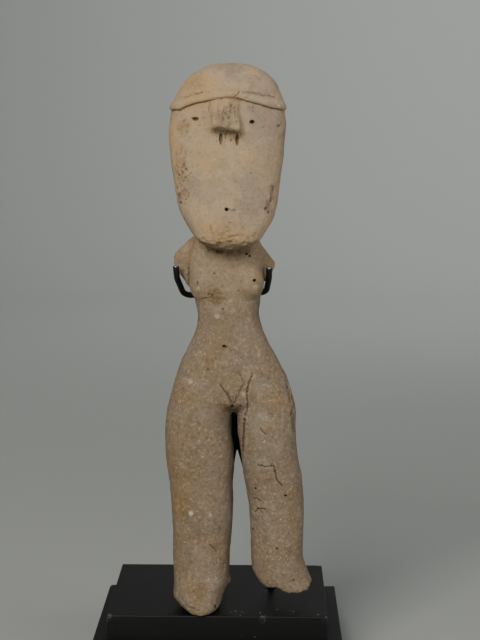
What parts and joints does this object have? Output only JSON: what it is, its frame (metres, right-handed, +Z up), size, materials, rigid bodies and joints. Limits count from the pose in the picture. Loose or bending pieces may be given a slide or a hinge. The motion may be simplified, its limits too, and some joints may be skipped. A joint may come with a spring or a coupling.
{
  "type": "clay figurine",
  "caption": "Standing fired clay figurine with a flat mask-like head, broken arms and foot, held by a rod cradle on a stepped black display base.",
  "frame": {"origin": "middle of the base's underside", "axes": "+Z up along the figure's height; the figure faces -Y; +X is to the right of a viewer who stands in front of the face"},
  "size_m": [0.099, 0.0794, 0.2412],
  "materials": {
    "fired_clay": "unglazed, matte, weathered",
    "black_rod": "black satin coating",
    "satin_black": "satin black, dusty"
  },
  "bodies": {
    "root": {"clay_figurine": "fired_clay", "left_rod": "black_rod", "right_rod": "black_rod", "upper_block": "satin_black", "lower_block": "satin_black"}
  },
  "joints": []
}
